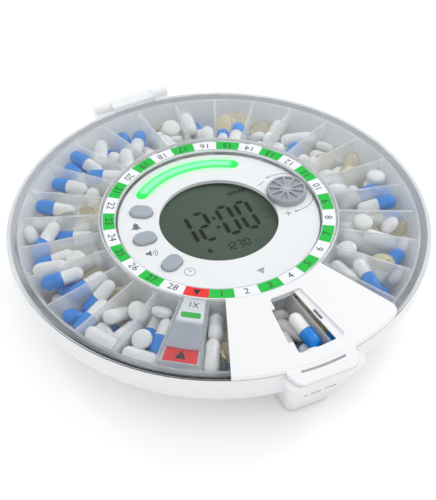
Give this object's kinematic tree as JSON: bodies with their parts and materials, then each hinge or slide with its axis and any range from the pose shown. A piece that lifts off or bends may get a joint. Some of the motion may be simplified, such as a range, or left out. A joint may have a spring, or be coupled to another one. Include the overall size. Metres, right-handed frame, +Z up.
{
  "type": "automatic pill dispenser",
  "caption": "Round automatic pill dispenser with a turning tray of dose places, clear hinged lid with a dispensing door, display, keys and dial.",
  "frame": {"origin": "on the tray's axis, at the level of the surface that the feet stand on", "axes": "+X to the right of a user in front of the lock, +Y to the lid hinge at the back, +Z up along the tray's axis"},
  "size_m": [0.22, 0.2348, 0.0473],
  "materials": {
    "white_gloss": "glossy white moulding",
    "white_satin": "satin white moulding",
    "clear": "clear polished moulding",
    "frosted": "frosted translucent moulding",
    "tray_clear": "translucent tray moulding",
    "grey_soft": "soft grey key",
    "grey_dial": "satin grey dial",
    "display": "reflective display glass",
    "window": "clear window",
    "green_light": "green diffuser",
    "led": "led package",
    "black_plastic": "black moulding",
    "board_green": "solder mask",
    "steel": "zinc plated",
    "brass": "contact metal",
    "gear_plastic": "natural acetal",
    "cell_jacket": "cell jacket",
    "rubber": "grey rubber"
  },
  "bodies": {
    "base": {"base_bowl": "white_gloss", "tray_deck": "white_satin", "rubber_feet": "rubber", "case_screws": "steel", "battery_bay": "white_satin", "aa_batteries": "cell_jacket", "battery_contacts": "brass", "drive_motor": "steel", "motor_bracket": "steel", "motor_screws": "steel", "index_switch": "black_plastic", "hinge_pin": "steel", "lever_pin": "steel", "lock_spring": "steel", "control_panel": "white_satin", "panel_screws": "steel", "main_circuit_board": "board_green", "board_screws": "steel", "buzzer": "black_plastic", "lcd_module": "display", "display_window": "window", "light_guide": "green_light", "leds": "led", "tact_switches": "black_plastic", "dial_encoder": "black_plastic"},
    "carousel": {"tray_floor": "tray_clear", "tray_inner_wall": "tray_clear", "tray_outer_wall": "tray_clear", "tray_dividers": "tray_clear", "drive_ring": "tray_clear", "home_cover": "frosted", "dose_ring": "white_satin"},
    "motor_gear": {"drive_gear": "gear_plastic"},
    "lid": {"lid_cover": "clear", "lid_panel": "white_gloss"},
    "door": {"dispensing_door": "white_satin"},
    "dial": {"dial_knob": "grey_dial"},
    "alarm_key": {"alarm_button": "grey_soft"},
    "volume_key": {"volume_button": "grey_soft"},
    "clock_key": {"clock_button": "grey_soft"},
    "lock": {"lock_lever": "white_satin"},
    "battery_hatch": {"battery_door": "white_gloss"}
  },
  "joints": [
    {"name": "carousel_turn", "type": "hinge", "parent": "base", "child": "carousel", "pos_m": [0, 0, 0], "axis": [0, 0, 1], "continuous": true},
    {"name": "gear_spin", "type": "hinge", "parent": "base", "child": "motor_gear", "pos_m": [0, 0.04, 0], "axis": [0, 0, 1], "continuous": true},
    {"name": "lid_hinge", "type": "hinge", "parent": "base", "child": "lid", "pos_m": [0, 0.1142, 0.042], "axis": [-1, 0, 0], "range_deg": [0, 100]},
    {"name": "door_slide", "type": "hinge", "parent": "lid", "child": "door", "pos_m": [0, 0, 0.0455], "axis": [0, 0, 1], "range_deg": [-13.8, 0]},
    {"name": "dial_turn", "type": "hinge", "parent": "base", "child": "dial", "pos_m": [0.0409, 0.002, 0.0437], "axis": [0, 0, 1], "continuous": true},
    {"name": "alarm_press", "type": "slide", "parent": "base", "child": "alarm_key", "axis": [0, 0, -1], "range_m": [0, 0.0007], "stiffness_N_per_m": 300, "springref_m": -0.0004},
    {"name": "volume_press", "type": "slide", "parent": "base", "child": "volume_key", "axis": [0, 0, -1], "range_m": [0, 0.0007], "stiffness_N_per_m": 300, "springref_m": -0.0004},
    {"name": "clock_press", "type": "slide", "parent": "base", "child": "clock_key", "axis": [0, 0, -1], "range_m": [0, 0.0007], "stiffness_N_per_m": 300, "springref_m": -0.0004},
    {"name": "lock_turn", "type": "hinge", "parent": "base", "child": "lock", "pos_m": [0, -0.09678, 0.008], "axis": [1, 0, 0], "range_deg": [0, 1.78]},
    {"name": "battery_hatch_turn", "type": "hinge", "parent": "base", "child": "battery_hatch", "pos_m": [0, -0.0256, 0.0031], "axis": [-1, 0, 0], "range_deg": [0, 55]}
  ],
  "couplings": [
    {"joint": "gear_spin", "follows": "carousel_turn", "ratio": 3.2222}
  ]
}
